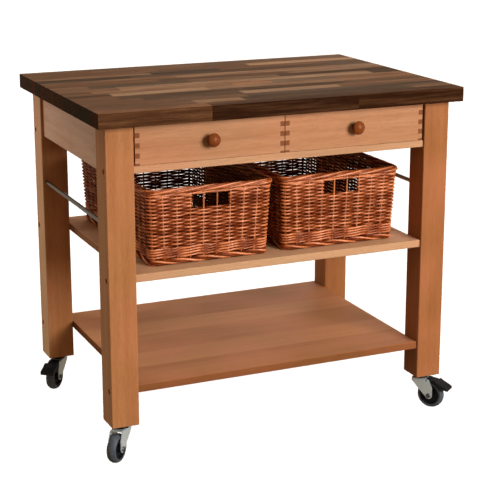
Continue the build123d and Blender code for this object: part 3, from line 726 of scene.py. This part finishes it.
def make_basket(node, material):
    """Hand-woven willow basket in the place of one plain basket of the model."""
    wall = BasketWall(node)
    source = random.Random(node)
    weave = Rods()
    weave_full_rows(weave, wall, source)
    front_window, back_window = WINDOW_GAPS, [CORNERS[2] + gap for gap in WINDOW_GAPS]
    weave_window_rows(weave, wall, source, front_window[1], back_window[0])
    weave_window_rows(weave, wall, source, back_window[1], STAKES + front_window[0])
    parts = {
        "weave": weave,
        "stakes": make_stakes(wall, source),
        "borders": make_borders(wall, source),
        "floor": make_floor_weave(wall, source),
    }
    for part, rods in parts.items():
        piece = rods.piece(f"{node}_{part}", material)
        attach(piece, node)
        if part == "weave":
            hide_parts(node)


def dress(node, material):
    """Gives a node of the model its finish."""
    slots = NODES[node].material_slots
    for slot in slots:
        slot.material = material
    if not slots:
        NODES[node].data.materials.append(material)


def dress_frame():
    """Legs, aprons, rail, runners and shelves in lacquered beech."""
    for node in NODES:
        if node.startswith("leg_") and node.endswith("right"):
            # Darker beech on the right legs, as painted shade.
            dress(node, timber(node, "Z", RIGHT_LEG_PAINTED_SHADE_DARK, RIGHT_LEG_PAINTED_SHADE_LIGHT))
        elif node.startswith("leg_"):
            # Painted sheen and light on the left legs' side faces.
            dress(node, timber(node, "Z", BEECH_DARK, BEECH_LIGHT, faces=("X", LEG_SIDE_PAINTED_SHEEN[node])))
        elif node.startswith("end_apron") or node.startswith("drawer_runner"):
            dress(node, timber(node, "Y", PALE_DARK, PALE_LIGHT))
        elif node in ("back_apron", "drawer_stops"):
            dress(node, timber(node, "X", BEECH_DARK, BEECH_LIGHT))
        elif node.endswith("_shelf"):
            low = node == "bottom_shelf"
            pair = (SHELF_DARK, SHELF_LIGHT) if low else (MIDDLE_DARK, MIDDLE_LIGHT)
            # Painted shade on the bottom shelf's front and back faces.
            edge = ("Y", SHELF_EDGE_PAINTED_SHADE) if low else None
            dress(node, timber(node, "X", *pair, shelf_box=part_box(node), faces=edge))
    dress("drawer_rail", timber("drawer_rail", "X", RAIL_DARK, RAIL_LIGHT))


def dress_drawers():
    """Pale beech drawer walls, a plywood bottom and a darker turned knob."""
    for side in ("left", "right"):
        for wall, along in (("front", "X"), ("back", "X"), ("left_side", "Y"), ("right_side", "Y")):
            node = f"drawer_{side}_{wall}"
            dress(node, timber(node, along, DRAWER_DARK, DRAWER_LIGHT))
        bottom = f"drawer_{side}_bottom"
        dress(bottom, timber(bottom, "X", PLY_DARK, PLY_LIGHT, gloss=0.55))
        knob = f"drawer_{side}_knob"
        dress(knob, timber(knob, "X", KNOB_DARK, KNOB_LIGHT, gloss=0.30, sheen=0.10))


def dress_metal():
    """Towel rails, bolts, screws and brackets."""
    polished = metal("rail_steel", (0.30, 0.34, 0.39), 0.17, along="Y", blotch=0.04)
    plated = metal("screw_steel", (0.50, 0.49, 0.46), 0.32)
    painted = metal("bracket_steel", (0.42, 0.42, 0.41), 0.40)
    for side in ("left", "right"):
        dress(f"towel_rail_{side}", polished)
        dress(f"drawer_{side}_knob_screw", plated)
    for node in ("frame_bolts", "cross_dowels", "bracket_screws"):
        dress(node, plated)
    dress("worktop_brackets", painted)


def dress_casters():
    """Zinc forks, dark axles, black swivels, hubs and pedals, and grey tyres."""
    zinc = metal("caster_zinc", (0.61, 0.69, 0.72), 0.34, blotch=0.05, shine=0.6)
    rivet = metal("caster_rivet", (0.13, 0.14, 0.15), 0.50)
    black = moulded("caster_plastic", (0.004, 0.005, 0.007), 0.45, 900)
    rubber = moulded("caster_tyre", (0.044, 0.054, 0.068), 0.58, 1400, dust=0.3)
    looks = {"fork": zinc, "axle": rivet, "tyre": rubber}
    looks.update({"stem": black, "hub": black, "brake_pedal": black})
    for node in NODES:
        if node.startswith("caster_"):
            for ending, material in looks.items():
                if node.endswith(ending):
                    dress(node, material)


def make_stage():
    """A wide pale floor, and a pale backdrop far around it. Only the camera sees the backdrop."""
    far = FLOOR_REACH
    corners = [(-far, -far, 0), (far, -far, 0), (far, far, 0), (-far, far, 0)]
    s = Shader("pale_floor")
    cloud = s.span(s.noise(s.place(), 3, 2), 0.3, 0.7, 0.995, 1.0)
    paint = s.finish(Base_Color=s.scaled((0.93, 0.93, 0.93), cloud), Roughness=0.8)
    floor = new_piece("floor", corners, [(0, 1, 2, 3)], paint, False)

    sides, radius = BACKDROP_SIDES, BACKDROP_RADIUS
    turns = [2 * math.pi * k / sides for k in range(sides)]
    ring = [(radius * math.cos(turn), radius * math.sin(turn)) for turn in turns]
    corners = [(x, y, z) for z in (-1.0, far) for x, y in ring]
    walls = [(k, (k + 1) % sides, sides + (k + 1) % sides, sides + k) for k in range(sides)]
    s = Shader("pale_backdrop")
    cloud = s.span(s.noise(s.place(), 3, 2), 0.3, 0.7, 0.995, 1.0)
    glow = s.scaled((1.0, 1.0, 1.0), cloud)
    light = {"Emission_Color": glow, "Emission_Strength": 1.0}
    paint = s.finish(Base_Color=glow, Roughness=0.8, **light)
    backdrop = new_piece("backdrop", corners, walls, paint, False)
    backdrop.visible_shadow = False
    for part in (floor, backdrop):
        part.visible_diffuse = False
        part.visible_glossy = False
    return floor


def add_light(name, kind, power, place, size, shine=False, only=(), never=()):
    """Soft light that looks at the middle of the trolley.

    It reaches only some pieces, or never some. size is in metres, or in degrees for a sun."""
    data = bpy.data.lights.new(name, kind)
    data.energy = power
    if kind == "SUN":
        data.angle = math.radians(size)
    else:
        data.size = size
    light = bpy.data.objects.new(name, data)
    light.location = place
    away = Vector(place) - Vector(LIGHTS_LOOK_AT)
    light.rotation_euler = away.to_track_quat("Z", "Y").to_euler()
    light.visible_camera = False
    light.visible_glossy = shine
    bpy.context.scene.collection.objects.link(light)
    links = bpy.data.collections.new(name + "_links")
    for piece in (*only, *never):
        links.objects.link(piece)
    if never:
        for entry in links.collection_objects:
            entry.light_linking.link_state = "EXCLUDE"
    light.light_linking.receiver_collection = links
    return light


def add_lights(floor, worktop):
    """Warm surroundings, a soft key, fills around and overhead, and a wash for the floor alone.

    The worktop has its share of the key from a light without shine, so that the key isn't
    mirrored in it."""
    world = bpy.data.worlds.new("studio")
    bpy.context.scene.world = world
    world.use_nodes = True
    background = world.node_tree.nodes["Background"]
    background.inputs["Color"].default_value = SURROUNDINGS
    background.inputs["Strength"].default_value = SURROUNDINGS_LEVEL
    key = ("AREA", KEY_POWER, KEY_PLACE, KEY_SIZE)
    others = {"never": (floor,)}
    add_light("key", *key, shine=True, never=(floor, worktop))
    add_light("worktop_key", *key, only=(worktop,))
    left = add_light("left_fill", "AREA", 8.8, (-1.25, 1.0, 0.7), 0.6, **others)
    left.data.color = COOL
    add_light("back_fill", "AREA", 50.0, (1.3, 2.2, 1.0), 1.5, **others)
    add_light("right_fill", "AREA", 30.0, (2.0, 0.25, 0.8), 0.8, **others)
    add_light("top_fill", "SUN", 1.2, (-0.3, -0.6, 4.0), 60.0, **others)
    wash = add_light("floor_wash", "SUN", 3.45, (0.0, -0.5, 4.0), 20.0, shine=True, only=(floor,))
    wash.light_linking.blocker_collection = wash.light_linking.receiver_collection


def add_camera():
    """Camera in front and to the left, a little above the worktop."""
    data = bpy.data.cameras.new("camera")
    data.lens = 100.2
    data.sensor_width = 36.0
    data.shift_y = -0.06
    data.clip_end = 200.0
    camera = bpy.data.objects.new("camera", data)
    camera.location = (-1.479, -3.415, 1.470)
    camera.rotation_euler = (math.radians(90 - 14.45), 0.0, -math.radians(24.04))
    bpy.context.scene.collection.objects.link(camera)
    bpy.context.scene.camera = camera


worktop = make_worktop()
willow = wicker()
for basket in ("basket_left", "basket_right"):
    make_basket(basket, willow)
dress_frame()
dress_drawers()
dress_metal()
dress_casters()
add_lights(make_stage(), worktop)
add_camera()
bpy.context.scene.view_settings.view_transform = "Standard"
